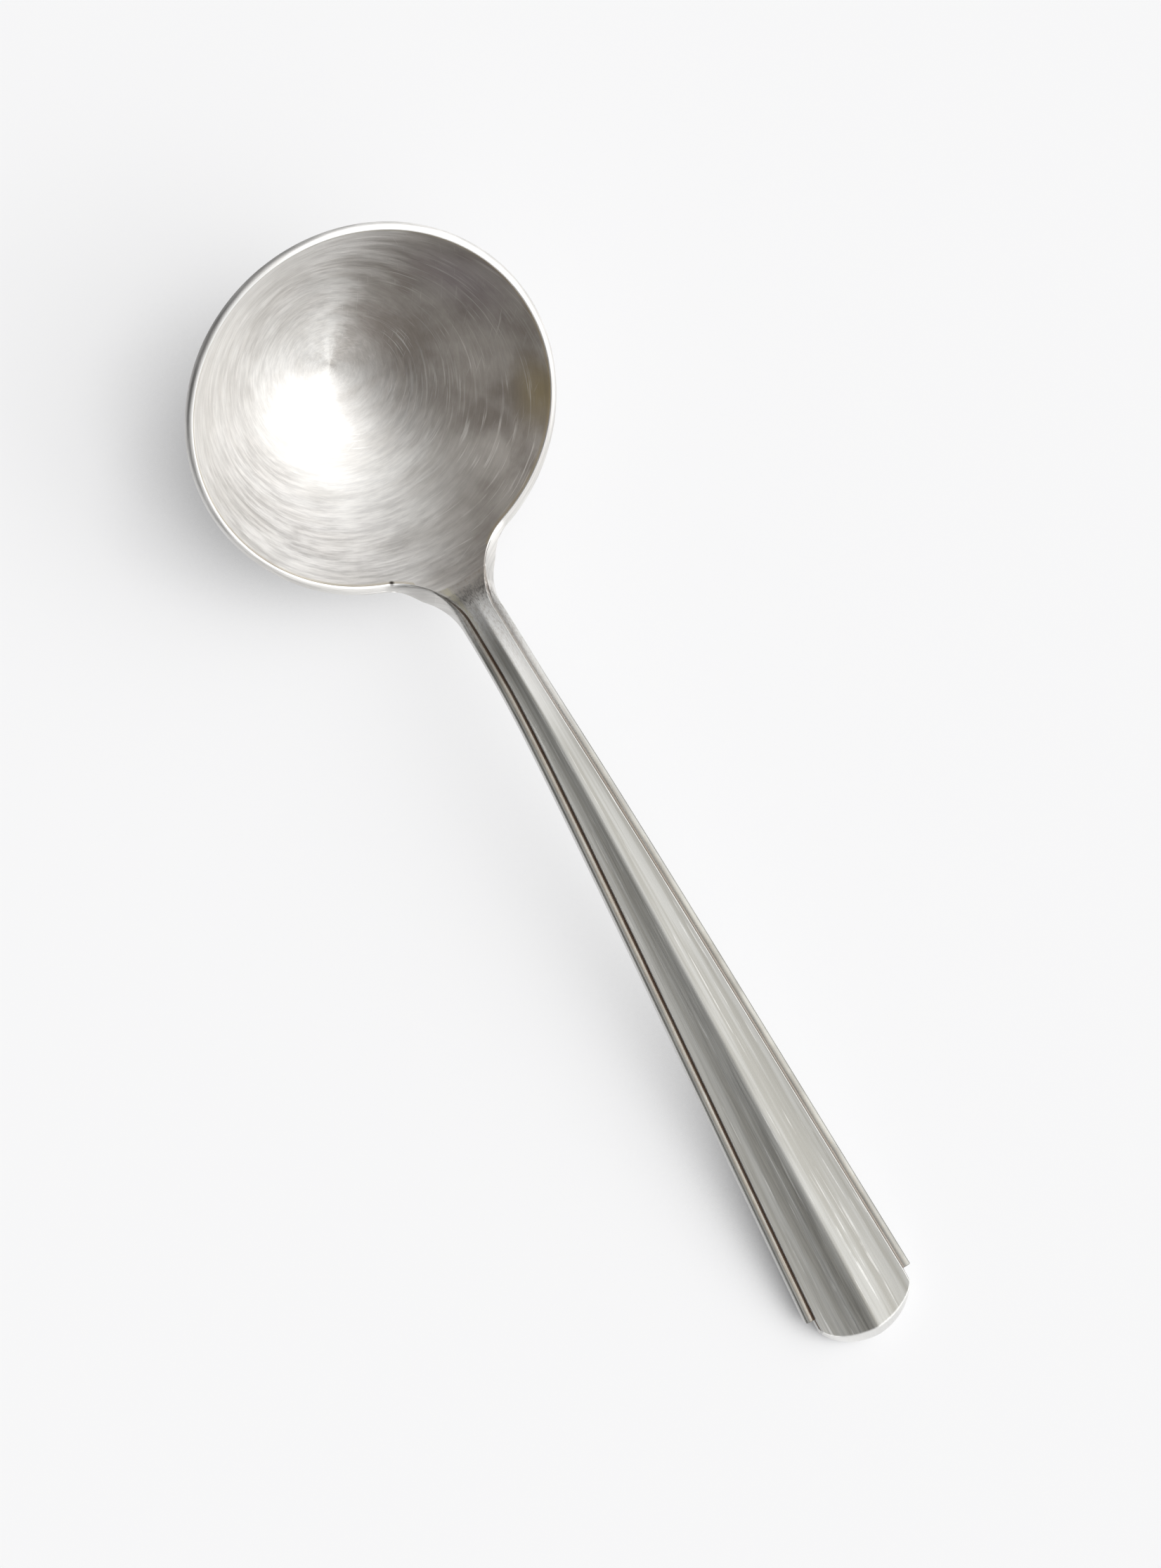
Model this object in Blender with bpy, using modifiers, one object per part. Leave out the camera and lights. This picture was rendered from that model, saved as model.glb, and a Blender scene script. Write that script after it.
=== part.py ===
# Sauce ladle lying on a table: drawn bowl, fluted handle and the braze that joins them.
# Metres, +Z up, +X from the bowl to the handle's tip, table at Z = 0, origin under the bowl.

from math import cos, pi, radians, sin, sqrt

import bmesh
import bpy
import numpy as np

MM = 0.001

# Bowl, in its own rim plane
RIM_RADIUS = 26.0 * MM  # inner edge of the rim
BOWL_DEPTH = 22.0 * MM  # rim plane down to the inside bottom
WALL = 0.9 * MM
WALL_ANGLE = radians(64)  # slope of the wall where it reaches the rim
BOTTOM_PULL = 15.5 * MM  # roundness of the bottom
WALL_PULL = 9.5 * MM  # straightness of the wall under the rim
RIM_CHAMFER = 0.12 * MM  # outer edge of the ground rim

# How the ladle lies
REST_PITCH = radians(28.4)  # lean of the rim plane towards the handle
BOWL_WEAR = 0.25 * MM  # worn flat under the bowl
TIP_WEAR = 0.1 * MM  # worn flat under the tip

# Neck: the rim flares out into it, first as a short lip of the bowl, then as the handle
LIP_LENGTH = 3.0 * MM  # along the top, from the rim
LIP_END_ROUND = 0.12 * MM
WAIST_LENGTH = 10.0 * MM  # along the top, from the rim to the narrowest place
NECK_HALF_WIDTH = 3.15 * MM
FLARE_ANGLE = radians(20)  # where the rim leaves its circle
FLARE_RIM_PULL = 4.5 * MM
FLARE_WAIST_PULL = 3.5 * MM

# Handle
TIP_REACH = 149.2 * MM  # rim centre to the tip, in plan
TIP_SLOPE = radians(9.5)  # fall of the handle at the tip
ARCH_NECK_PULL = 27.0 * MM  # how far the arch keeps the wall's direction
ARCH_TIP_PULL = 72.0 * MM  # how far the arch keeps the tip's direction
HANDLE_THICKNESS = 3.0 * MM
TAIL_HALF_WIDTH = 8.6 * MM  # at the end of the shoulders
TAPER_START = 12.0 * MM  # from the waist
TAPER_KNEE = 6.0 * MM
SHOULDER_WIDTH = 1.35 * MM
SHOULDER_DROP = 0.55 * MM  # shoulder below the fluted panel
SHOULDER_WALL_RUN = 0.15 * MM  # draft of the wall between them
FLUTE_SHARE = 0.063  # depth of the flutes, of the panel's half-width
CREST_SHARE = 0.14  # height of the middle ridge above the panel's edges, of the same
RELIEF_RUN = 6.0 * MM  # length in which ridge and shoulders rise from the lip
FLATTEN_RUN = 10.0 * MM  # length in which the top loses the bowl's roundness
EDGE_ROUND = 0.3 * MM
SIDE_DRAFT = 0.2 * MM
UNDER_ROUND = 0.5 * MM
BACK_CROWN = 0.25 * MM

# Tip: the fluted panel runs on past the shoulders to a rounded end
TIP_ZONE = 12.0 * MM
SHOULDER_SETBACK = 6.9 * MM  # shoulders stop this far before the tip
TIP_ROUND_LENGTH = 7.0 * MM  # half axes of the end's ellipse
TIP_ROUND_HALF_WIDTH = 8.0 * MM
TIP_BEVEL = 2.0 * MM  # width in the middle
TIP_BEVEL_CORNER = 0.8 * MM
TIP_BEVEL_DROP = 1.9 * MM

# Lap joint: the handle's heel lies under the lip and up the back of the bowl
HEEL_LENGTH = 10.0 * MM  # below the rim, along the wall
HEEL_EDGE = 0.4 * MM  # thickness at the heel's end
HEEL_SPREAD = 11.0 * MM  # pull of the leaf-shaped outline
HEEL_WAIST = 5.0 * MM  # pull of the outline where it comes out under the lip
HEEL_WAIST_WIDTH = 6.5 * MM
HEEL_ROOT = 4.6 * MM  # pull of the thick root under the rim
HEEL_THIN_SHARE = 0.6  # of the heel's length, before it thickens
ROOT_TUCK = 0.7 * MM  # how far the root's sides lean in
BRAZE_FILM = 0.25 * MM
BRAZE_CLEARANCE = 0.15 * MM
BRAZE_INSET = 0.4 * MM  # film's edge inside the heel's edge
BRAZE_SINK = 0.1 * MM  # film's end below the top of the lip
BRAZE_TURN = 0.05 * MM  # run in which the film turns up

# Colour, roughness and metallic value
BOWL_FINISH = ((0.62, 0.61, 0.58, 1), 0.3, 1.0)
HANDLE_FINISH = ((0.60, 0.58, 0.54, 1), 0.34, 1.0)
BRAZE_FINISH = ((0.42, 0.36, 0.27, 1), 0.55, 1.0)

# Mesh counts
BOWL_RINGS = 13
RIM_COLUMNS = 27
FLARE_COLUMNS = 9
LIP_COLUMNS = 3
FLUTE_STEPS = 5
BODY_STATIONS = 34
HEEL_STATIONS = 9
TIP_STEPS = 3
BODY_BUNCHING = 1.3  # closer stations near the neck
HEEL_BUNCHING = 1.5  # closer stations near the heel's end
LINE_SAMPLES = 600

SMOOTH_ANGLE = radians(28)
MERGE = 0.00001
CUTTER_MARGIN = 20.0 * MM


def bezier(p0, p1, p2, p3, count=LINE_SAMPLES):
    t = np.linspace(0, 1, count)[:, None]
    s = 1 - t
    ends = s**3 * np.array(p0) + t**3 * np.array(p3)
    return ends + 3 * s**2 * t * np.array(p1) + 3 * s * t**2 * np.array(p2)


def lengths_along(points):
    steps = np.linalg.norm(np.diff(points, axis=0), axis=1)
    return np.concatenate([[0], np.cumsum(steps)])


def under_normals(points):
    # unit normals on the lower side of a line that runs from the bowl to the tip
    tangents = np.gradient(points, lengths_along(points), axis=0)
    tangents /= np.linalg.norm(tangents, axis=1)[:, None]
    return np.stack([tangents[:, 1], -tangents[:, 0]], axis=1)


def ease(share):
    share = np.clip(share, 0, 1)
    return share * share * (3 - 2 * share)


def mix(first, second, share):
    return first + (second - first) * share


# Directions of the bowl's radius and axis in the ladle's middle plane
RADIAL = np.array([cos(REST_PITCH), -sin(REST_PITCH)])
AXIAL = np.array([sin(REST_PITCH), cos(REST_PITCH)])


def tilted(profile):
    return profile[:, :1] * RADIAL + profile[:, 1:] * AXIAL


def bowl_profile():
    # inside of the bowl, radius and height from the rim plane
    rim = np.array([RIM_RADIUS, 0])
    rise = np.array([cos(WALL_ANGLE), sin(WALL_ANGLE)])
    return bezier((0, -BOWL_DEPTH), (BOTTOM_PULL, -BOWL_DEPTH), rim - WALL_PULL * rise, rim)


def rim_centre():
    # the outside of the bowl touches the table, less what is worn off, at the origin
    outside = tilted(bowl_profile() + WALL * under_normals(bowl_profile()))
    lowest = outside[np.argmin(outside[:, 1])]
    return np.array([-lowest[0], -lowest[1] - BOWL_WEAR])


RIM_CENTRE = rim_centre()


def top_line():
    # middle line of the top face: inside of the bowl, over the lip, along the handle
    bowl = RIM_CENTRE + tilted(bowl_profile())
    climb = WALL_ANGLE - REST_PITCH
    tip_height = HANDLE_THICKNESS * cos(TIP_SLOPE) - TIP_WEAR
    tip = np.array([RIM_CENTRE[0] + TIP_REACH, tip_height])
    leave = bowl[-1] + ARCH_NECK_PULL * np.array([cos(climb), sin(climb)])
    arrive = tip + ARCH_TIP_PULL * np.array([-cos(TIP_SLOPE), sin(TIP_SLOPE)])
    handle = bezier(bowl[-1], leave, arrive, tip)
    return np.vstack([bowl, handle[1:]])


LINE = top_line()
LINE_AT = lengths_along(LINE)
LINE_NORMALS = under_normals(LINE)

# Stations along the line
RIM_AT = LINE_AT[LINE_SAMPLES - 1]
LIP_AT = RIM_AT + LIP_LENGTH
WAIST_AT = RIM_AT + WAIST_LENGTH
TIP_AT = LINE_AT[-1]
SHOULDER_AT = TIP_AT - SHOULDER_SETBACK
HEEL_AT = RIM_AT - HEEL_LENGTH
FILM_END_AT = LIP_AT + LIP_END_ROUND + BRAZE_CLEARANCE + BRAZE_FILM
BODY_AT = FILM_END_AT + BRAZE_CLEARANCE

# Depths below the top line in the lap
FILM_TOP = WALL + BRAZE_CLEARANCE
HEEL_TOP = FILM_TOP + BRAZE_FILM + BRAZE_CLEARANCE

RIM_BAND = WALL / sin(WALL_ANGLE)


def on_line(at, depth):
    # point in the middle plane, this far along the top line and below it
    point = np.array([np.interp(at, LINE_AT, LINE[:, axis]) for axis in (0, 1)])
    normal = np.array([np.interp(at, LINE_AT, LINE_NORMALS[:, axis]) for axis in (0, 1)])
    return point + depth * normal / np.linalg.norm(normal)


def bowl_point(at, depth, angle):
    # point turned about the bowl's axis
    offset = on_line(at, depth) - RIM_CENTRE
    radius = offset @ RADIAL
    x, z = RIM_CENTRE + (offset @ AXIAL) * AXIAL + radius * cos(angle) * RADIAL
    return x, radius * sin(angle), z


def strap_point(at, depth, y, roundness):
    # point beside the middle plane, on a circle about the bowl's axis or straight across
    middle = on_line(at, depth)
    radius = (middle - RIM_CENTRE) @ RADIAL
    sag = sqrt(max(radius * radius - y * y, 0)) - radius
    x, z = middle + roundness * sag * RADIAL
    return x, y, z


def radius_table(depth):
    # radius from the bowl's axis all along the line, up to the waist and a little past it
    at = np.linspace(0, WAIST_AT + RELIEF_RUN, LINE_SAMPLES)
    radii = [(on_line(a, depth) - RIM_CENTRE) @ RADIAL for a in at]
    return np.array(radii), at


INNER_RADII = radius_table(0)
OUTER_RADII = radius_table(WALL)


def flare_line():
    # inner edge of the rim in its own plane, from the waist out to the circle
    inner = NECK_HALF_WIDTH - RIM_BAND
    waist_radius = np.interp(WAIST_AT, INNER_RADII[1], INNER_RADII[0])
    waist = np.array([sqrt(waist_radius**2 - inner**2), inner])
    leave = RIM_RADIUS * np.array([cos(FLARE_ANGLE), sin(FLARE_ANGLE)])
    pull_rim = leave + FLARE_RIM_PULL * np.array([sin(FLARE_ANGLE), -cos(FLARE_ANGLE)])
    return bezier(waist, waist - np.array([FLARE_WAIST_PULL, 0]), pull_rim, leave)


FLARE = flare_line()
FLARE_EDGE = FLARE + RIM_BAND * under_normals(FLARE)
FLARE_LEVEL_AT = np.interp(np.linalg.norm(FLARE, axis=1), *INNER_RADII)


def edge_stations():
    # where the outer edge of the flare's flat band lies along the top line, and how far below
    found = []
    for edge, level_at in zip(FLARE_EDGE, FLARE_LEVEL_AT):
        height = (on_line(level_at, 0) - RIM_CENTRE) @ AXIAL
        point = RIM_CENTRE + np.linalg.norm(edge) * RADIAL + height * AXIAL
        nearest = np.argmin(np.linalg.norm(LINE - point, axis=1))
        offset = point - LINE[nearest]
        normal = LINE_NORMALS[nearest]
        along = np.array([-normal[1], normal[0]])
        found.append((LINE_AT[nearest] + offset @ along, offset @ normal))
    return np.array(found)


EDGE_AT, EDGE_DEPTH = edge_stations().T


def neck_half_width(at):
    return np.interp(at, EDGE_AT[::-1], FLARE_EDGE[::-1, 1])


def neck_drop(at):
    return np.interp(at, EDGE_AT[::-1], EDGE_DEPTH[::-1])


LIP_HALF_WIDTH = neck_half_width(LIP_AT)


def half_loft(name, rows, finish, first_pole=None, last_pole=None):
    # skin over rows that each start and end on the middle plane, then mirrored
    bm = bmesh.new()
    grid = [[bm.verts.new(point) for point in row] for row in rows]
    count = len(rows[0])
    for near, far in zip(grid, grid[1:]):
        for j in range(count - 1):
            bm.faces.new((near[j], far[j], far[j + 1], near[j + 1]))
    if first_pole:
        pole = bm.verts.new(first_pole)
        for j in range(count - 1):
            bm.faces.new((pole, grid[0][j], grid[0][j + 1]))
    if last_pole:
        pole = bm.verts.new(last_pole)
        for j in range(count - 1):
            bm.faces.new((grid[-1][j], pole, grid[-1][j + 1]))
    if not first_pole and not last_pole:
        for j in range(count // 2 - 1):
            pair = (j, j + 1, count - 2 - j, count - 1 - j)
            bm.faces.new([grid[0][k] for k in pair])
            bm.faces.new([grid[-1][k] for k in reversed(pair)])
    bmesh.ops.triangulate(bm, faces=bm.faces)
    mesh = bpy.data.meshes.new(name)
    bm.to_mesh(mesh)
    bm.free()
    mesh.shade_smooth()
    mesh.set_sharp_from_angle(angle=SMOOTH_ANGLE)
    mesh.materials.append(make_material(name, finish))
    part = bpy.data.objects.new(name, mesh)
    mirror = part.modifiers.new("both_sides", "MIRROR")
    mirror.use_axis = (False, True, False)
    mirror.merge_threshold = MERGE
    return part


def make_material(name, finish):
    colour, roughness, metallic = finish
    material = bpy.data.materials.new(name + "_metal")
    material.use_nodes = True
    shader = material.node_tree.nodes["Principled BSDF"]
    shader.inputs["Base Color"].default_value = colour
    shader.inputs["Roughness"].default_value = roughness
    shader.inputs["Metallic"].default_value = metallic
    return material


def lip_columns():
    # samples of the flare, for its inner and its outer edge, from the lip's end to the circle
    chosen = []
    for stations in (FLARE_LEVEL_AT, EDGE_AT):
        first = np.argmax(stations <= LIP_AT)
        chosen.append(np.linspace(first, LINE_SAMPLES - 1, FLARE_COLUMNS + 2).astype(int))
    return chosen


def bowl_outline():
    # inner and outer edge of the rim's flat band in the rim plane, from the lip round to the
    # far side, with the line's station that gives the band its height
    inner_chosen, outer_chosen = lip_columns()
    angles = np.linspace(FLARE_ANGLE, pi, RIM_COLUMNS)[1:]
    circle = np.stack([np.cos(angles), np.sin(angles)], axis=1)
    inner = np.vstack([FLARE[inner_chosen], RIM_RADIUS * circle])
    outer = np.vstack([FLARE_EDGE[outer_chosen], (RIM_RADIUS + RIM_BAND) * circle])
    level = np.vstack([FLARE[outer_chosen], RIM_RADIUS * circle])
    return inner, outer, np.interp(np.linalg.norm(level, axis=1), *INNER_RADII)


def make_bowl():
    inner, outer, level_at = bowl_outline()
    shares = np.linspace(0, 1, BOWL_RINGS + 1)[1:]
    columns = []

    # end of the lip, square to the sheet
    lip_angle = np.arctan2(inner[0, 1], inner[0, 0])
    end_at = LIP_AT + LIP_END_ROUND
    for angle in np.linspace(0, lip_angle, LIP_COLUMNS)[:-1]:
        inside = [bowl_point(LIP_AT * share, 0, angle) for share in shares]
        outside = [bowl_point(end_at * share, WALL, angle) for share in shares[::-1]]
        columns.append(inside + [bowl_point(end_at, LIP_END_ROUND, angle)] + outside)

    # flare and circle
    for j in range(len(inner)):
        angle = np.arctan2(inner[j, 1], inner[j, 0])
        at = np.interp(np.linalg.norm(inner[j]), *INNER_RADII)
        height = (on_line(level_at[j], 0) - RIM_CENTRE) @ AXIAL
        x, z = RIM_CENTRE + outer[j, 0] * RADIAL + height * AXIAL
        if j == 0:
            outer_at = end_at
            radius = np.interp(end_at, OUTER_RADII[1], OUTER_RADII[0])
            outer_angle = np.arcsin(outer[j, 1] / radius)
        else:
            outer_at = np.interp(np.linalg.norm(outer[j]) - RIM_CHAMFER, *OUTER_RADII)
            outer_angle = np.arctan2(outer[j, 1], outer[j, 0])
        inside = [bowl_point(at * share, 0, angle) for share in shares]
        outside = [bowl_point(outer_at * share, WALL, outer_angle) for share in shares[::-1]]
        columns.append(inside + [(x, outer[j, 1], z)] + outside)

    rows = [list(row) for row in zip(*columns)]
    for row in rows:
        row[0] = (row[0][0], 0, row[0][2])
        row[-1] = (row[-1][0], 0, row[-1][2])
    return half_loft("bowl", rows, BOWL_FINISH, bowl_point(0, 0, 0), bowl_point(0, WALL, 0))


def handle_half_width(at):
    # the neck's flare, then a straight taper out to the tail
    start = WAIST_AT + TAPER_START

    def knee(u):
        return (u + sqrt(u * u + TAPER_KNEE * TAPER_KNEE)) / 2

    share = knee(at - start) / knee(SHOULDER_AT - start)
    return mix(neck_half_width(at), TAIL_HALF_WIDTH, share)


def back_points(half_width, top, deep):
    # side foot, lower edge and crowned back, to the middle
    scale = (deep - top) / (HANDLE_THICKNESS - SHOULDER_DROP)
    draft = SIDE_DRAFT * scale
    edge_round = UNDER_ROUND * scale
    crown = BACK_CROWN * scale
    root = max(deep - HANDLE_THICKNESS, 0) / (HEEL_ROOT - HANDLE_THICKNESS)
    foot = half_width + draft - ROOT_TUCK * root
    flat = foot - edge_round
    points = [(foot, deep - crown - edge_round)]
    count = FLUTE_STEPS + 2
    for i in range(count + 1):
        share = 1 - i / count
        points.append((flat * share, deep - crown * share * share))
    return points


def handle_depth(at):
    # thickness below the top line: thin at the heel's end, thickest in the root under the rim
    thin = HEEL_TOP + HEEL_EDGE
    root = bezier(
        (HEEL_AT, thin),
        (mix(HEEL_AT, RIM_AT, HEEL_THIN_SHARE), thin),
        (RIM_AT, HEEL_ROOT),
        (WAIST_AT, HANDLE_THICKNESS),
    )
    return np.interp(at, root[:, 0], root[:, 1])


def handle_section(at, shoulder_share=1.0):
    # half of the cross-section: ridge, flute, wall, shoulder, edge, side and back, as
    # distance from the middle plane and depth below the top line
    half_width = handle_half_width(min(at, SHOULDER_AT))
    rise = ease((at - BODY_AT) / RELIEF_RUN)
    panel = half_width - mix(RIM_BAND, SHOULDER_WIDTH, rise)
    flute = rise * FLUTE_SHARE * panel
    crest = rise * CREST_SHARE * panel
    drop = mix(neck_drop(at), SHOULDER_DROP, rise)
    points = []
    for i in range(FLUTE_STEPS + 1):
        share = i / FLUTE_STEPS
        points.append((panel * share, (1 - share) * (4 * flute * share - crest)))
    foot = panel + SHOULDER_WALL_RUN
    outer = mix(foot, half_width, shoulder_share)
    points.append((foot, drop))
    points.append((max(outer - EDGE_ROUND, foot), drop + EDGE_ROUND * (1 - shoulder_share)))
    side = back_points(outer, drop, handle_depth(at))
    points.append((outer, drop + EDGE_ROUND * (2 - shoulder_share)))
    return points + side


def heel_outline():
    # leaf-shaped half-width of the heel, from its end to the lip's end
    return bezier(
        (HEEL_AT, 0),
        (HEEL_AT, HEEL_SPREAD),
        (LIP_AT - HEEL_WAIST, HEEL_WAIST_WIDTH),
        (LIP_AT, LIP_HALF_WIDTH),
    )


def heel_stations():
    outline = heel_outline()
    stations = []
    for share in np.linspace(0, 1, HEEL_STATIONS + 1)[1:]:
        index = round(share**HEEL_BUNCHING * (LINE_SAMPLES - 1))
        at, half_width = outline[index]
        stations.append((at, half_width, handle_depth(at)))
    return stations


def heel_section(half_width, deep):
    count = FLUTE_STEPS + 3
    top = [(half_width * i / count, HEEL_TOP) for i in range(count + 1)]
    return top + back_points(half_width, HEEL_TOP, deep)


def tip_end(y):
    # setback of the rounded end at this distance from the middle plane
    share = min(y / TIP_ROUND_HALF_WIDTH, 1)
    return TIP_ROUND_LENGTH * (1 - sqrt(1 - share * share))


def tip_rows():
    # the end's outline takes over from straight sections, the shoulders stop, then a bevel
    start = TIP_AT - TIP_ZONE
    panel = TAIL_HALF_WIDTH - SHOULDER_WIDTH + SHOULDER_WALL_RUN
    corner = TIP_AT - tip_end(panel) - TIP_BEVEL_CORNER
    stop = (SHOULDER_AT - start) / (corner - start)
    shares_on = [(i + 1) / TIP_STEPS for i in range(TIP_STEPS)]
    steps = [(stop * step, 1.0, 0, 0) for step in shares_on]
    steps += [(mix(stop, 1, step), 0.0, 0, 0) for step in shares_on]
    steps += [(1, 0.0, sin(step * pi / 2), 1 - cos(step * pi / 2)) for step in shares_on]
    rows = []
    for share, shoulder, run, drop in steps:
        row = []
        sink = TIP_BEVEL_DROP * drop
        for y, depth in handle_section(SHOULDER_AT, shoulder):
            inside = min(y / panel, 1)
            bevel = mix(TIP_BEVEL, TIP_BEVEL_CORNER, inside * inside)
            arris = TIP_AT - tip_end(inside * panel) - bevel
            sunk = sink + depth * (1 - sink / HANDLE_THICKNESS)
            row.append(strap_point(mix(start, arris, share) + run * bevel, sunk, y, 0))
        rows.append(row)
    return rows


def make_handle():
    rows = []
    for at, half_width, deep in heel_stations():
        rows.append([strap_point(at, depth, y, 1) for y, depth in heel_section(half_width, deep)])
    flat = heel_section(handle_half_width(BODY_AT), handle_depth(BODY_AT))
    rows.append([strap_point(BODY_AT, depth, y, 1) for y, depth in flat])
    first = BODY_AT + BRAZE_CLEARANCE
    for share in np.linspace(0, 1, BODY_STATIONS) ** BODY_BUNCHING:
        at = mix(first, TIP_AT - TIP_ZONE, share)
        roundness = 1 - ease((at - first) / FLATTEN_RUN)
        rows.append([strap_point(at, depth, y, roundness) for y, depth in handle_section(at)])
    rows += tip_rows()
    return half_loft("handle", rows, HANDLE_FINISH)


def make_braze():
    # film in the lap, turned up between the lip's end and the handle
    count = FLUTE_STEPS
    film_bottom = FILM_TOP + BRAZE_FILM
    stations = [(at, width - BRAZE_INSET, FILM_TOP) for at, width, deep in heel_stations()[:-1]]
    neck = LIP_HALF_WIDTH - BRAZE_INSET
    turn = LIP_AT + LIP_END_ROUND + BRAZE_CLEARANCE
    stations.append((turn, neck, FILM_TOP))
    stations.append((turn + BRAZE_TURN, neck - RIM_BAND, BRAZE_SINK))
    stations.append((FILM_END_AT, neck - RIM_BAND, BRAZE_SINK))
    rows = []
    for at, half_width, top in stations:
        across = [half_width * i / count for i in range(count + 1)]
        section = [(y, top) for y in across] + [(y, film_bottom) for y in reversed(across)]
        rows.append([strap_point(at, depth, y, 1) for y, depth in section])
    return half_loft("braze_film", rows, BRAZE_FINISH)


def make_table_cutter():
    # slab below the table, which wears the flats that the ladle rests on
    length = 2 * (TIP_REACH + RIM_RADIUS)
    height = BOWL_DEPTH + CUTTER_MARGIN
    bpy.ops.mesh.primitive_cube_add(size=1, location=(0, 0, -height / 2))
    cutter = bpy.context.object
    cutter.name = "table_plane"
    cutter.scale = (length, 4 * RIM_RADIUS, height)
    bpy.ops.object.transform_apply(location=False, rotation=False, scale=True)
    cutter.hide_render = True
    cutter.display_type = "WIRE"
    return cutter


def cut_flat(part, cutter):
    flat = part.modifiers.new("rest_flat", "BOOLEAN")
    flat.operation = "DIFFERENCE"
    flat.object = cutter


def main():
    for old in list(bpy.data.objects):
        bpy.data.objects.remove(old, do_unlink=True)
    scene = bpy.context.scene
    parts = bpy.data.collections.new("ladle")
    cutters = bpy.data.collections.new("cutters")
    scene.collection.children.link(parts)
    scene.collection.children.link(cutters)

    cutter = make_table_cutter()
    for holder in list(cutter.users_collection):
        holder.objects.unlink(cutter)
    cutters.objects.link(cutter)

    body = bpy.data.objects.new("ladle", None)
    parts.objects.link(body)
    for part in (make_bowl(), make_handle(), make_braze()):
        parts.objects.link(part)
        part.parent = body
        if part.name != "braze_film":
            cut_flat(part, cutter)


main()
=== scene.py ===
from math import cos, pi, radians, sin, sqrt

import bmesh
import bpy
import numpy as np
from mathutils import Matrix, Vector


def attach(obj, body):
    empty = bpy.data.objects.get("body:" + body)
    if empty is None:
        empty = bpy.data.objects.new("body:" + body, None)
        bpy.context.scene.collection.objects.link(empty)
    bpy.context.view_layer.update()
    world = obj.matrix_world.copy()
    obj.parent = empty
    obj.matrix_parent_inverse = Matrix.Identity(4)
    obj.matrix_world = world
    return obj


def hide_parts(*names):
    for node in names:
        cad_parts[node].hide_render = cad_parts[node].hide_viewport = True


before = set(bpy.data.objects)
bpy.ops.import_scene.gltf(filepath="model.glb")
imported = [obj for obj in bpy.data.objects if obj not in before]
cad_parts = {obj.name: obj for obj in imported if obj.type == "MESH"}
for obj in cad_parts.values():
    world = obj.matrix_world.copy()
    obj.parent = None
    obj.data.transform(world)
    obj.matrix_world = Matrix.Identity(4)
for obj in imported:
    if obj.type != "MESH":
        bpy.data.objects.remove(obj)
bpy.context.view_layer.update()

print("frame loaded:", sorted(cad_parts))

# Lengths of the ladle are in millimetres, and go to metres when a mesh is made.
mm = 0.001
mergeWithin = 2e-7  # metres
sharpFrom = radians(44)


def bezier(a, b, c, d, count=900):
    a, b, c, d = (np.array(p, float) for p in (a, b, c, d))
    t = np.linspace(0, 1, count)[:, None]
    s = 1 - t
    return s**3 * a + 3 * s**2 * t * b + 3 * s * t**2 * c + t**3 * d


def lengthsAlong(points):
    steps = np.linalg.norm(np.diff(points, axis=0), axis=1)
    return np.concatenate([[0], np.cumsum(steps)])


def lowerNormals(points):
    tangents = np.gradient(points, lengthsAlong(points), axis=0)
    tangents /= np.linalg.norm(tangents, axis=1)[:, None]
    return np.stack([tangents[:, 1], -tangents[:, 0]], axis=1)


def ease(share):
    share = np.clip(share, 0, 1)
    return share * share * (3 - 2 * share)


def mix(first, second, share):
    return first + (second - first) * share


# How the ladle lies, and the line that runs through bowl, neck and handle
lie = {
    "pitch": radians(28.4),  # lean of the rim towards the handle
    "bowlWear": 0.25,  # worn flat under the bowl
    "tipWear": 0.1,
    "tipReach": 149.2,  # rim centre to the tip, in plan
    "tipSlope": radians(9.5),
    "neckPull": 27.0,  # handles of the arch's curve
    "tipPull": 72.0,
    "thickness": 3.0,
}

bowl = {
    "rimRadius": 26.0,
    "depth": 22.0,
    "wall": 0.9,
    "wallAngle": radians(64),
    "bottomPull": 15.5,
    "wallPull": 9.5,
    "rimRoll": 0.7,  # how far the rounded rim falls to its outer edge
    "rollCorner": 0.72,
    "rimFillet": 0.14,  # inner edge, rubbed and with a painted highlight
    "filletMost": 0.4,
    "rimFoot": 1.3,  # where the rounded rim runs into the outside
    "bellyShare": 0.55,
    "bellyPull": 0.7,
    "rootFoot": 2.4,  # how far in the neck's root runs into the outside
    "rootRun": 1.25,
    "sideInset": 0.04,  # the lip's sides end just inside the handle
    "lipSkin": 0.08,
    "rimSwell": 0.45,  # the rim is wider beside the neck
    "swellColumns": 46,
    "rimLineEnd": 25.0,  # the bright inner edge dies out on the neck from here
    "rimLineFade": 2.5,
    "stainReach": 0.6,
    "rings": 60,
    "rimColumns": 150,
    "flareColumns": 44,
    "lipColumns": 14,
    "rimSteps": 13,
    "footSteps": 5,
    "filletSteps": 5,
}

neck = {
    "lipEnd": 3.82,  # the bowl's sheet meets the handle here, from the rim
    "lipTuck": 0.3,
    "waist": 10.0,
    "halfWidth": 3.15,
    "flareAngle": radians(22),
    "flareRimPull": 4.6,
    "flareWaistPull": 3.5,
}

radial = np.array([cos(lie["pitch"]), -sin(lie["pitch"])])
axial = np.array([sin(lie["pitch"]), cos(lie["pitch"])])


def bowlProfile():
    rim = np.array([bowl["rimRadius"], 0])
    climb = np.array([cos(bowl["wallAngle"]), sin(bowl["wallAngle"])])
    low = -bowl["depth"]
    return bezier((0, low), (bowl["bottomPull"], low), rim - bowl["wallPull"] * climb, rim)


def tilted(profile):
    return profile[:, :1] * radial + profile[:, 1:] * axial


def findRimCentre():
    outside = tilted(bowlProfile() + bowl["wall"] * lowerNormals(bowlProfile()))
    lowest = outside[np.argmin(outside[:, 1])]
    return np.array([-lowest[0], -lowest[1] - lie["bowlWear"]])


rimCentre = findRimCentre()


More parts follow.
